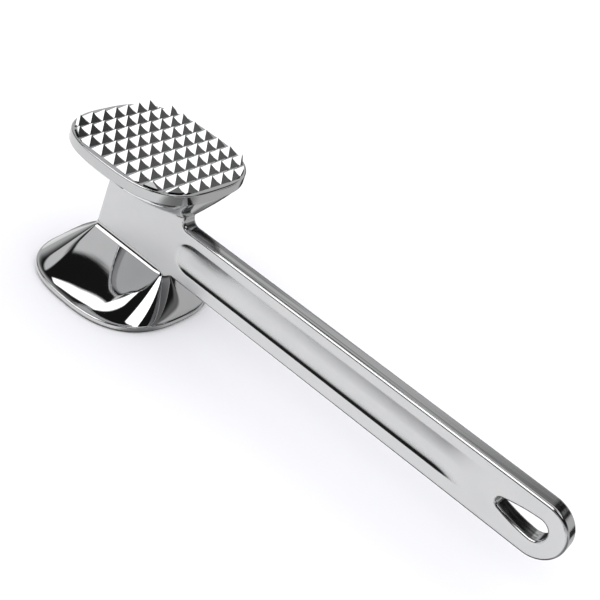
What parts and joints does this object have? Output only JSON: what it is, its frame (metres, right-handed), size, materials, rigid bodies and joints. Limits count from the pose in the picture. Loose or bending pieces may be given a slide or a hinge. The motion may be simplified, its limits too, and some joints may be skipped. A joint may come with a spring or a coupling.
{
  "type": "meat mallet",
  "caption": "Meat mallet with a pyramid-toothed plate opposite a smooth flat foot on a web, and a flat grooved handle with a hanging hole.",
  "frame": {"origin": "centre of the smooth striking face, which lies in the plane Z = 0", "axes": "+X along the handle toward its hanging hole, +Z along the strike axis with the teeth up, +Y across the flat bar"},
  "size_m": [0.2074, 0.0588, 0.0584],
  "materials": {
    "handle_chrome": "satin polish",
    "foot_chrome": "mirror polish",
    "plate_chrome": "mirror polish"
  },
  "bodies": {
    "root": {"handle_and_web_bar": "handle_chrome", "smooth_striking_foot": "foot_chrome", "toothed_striking_plate": "plate_chrome"}
  },
  "joints": []
}
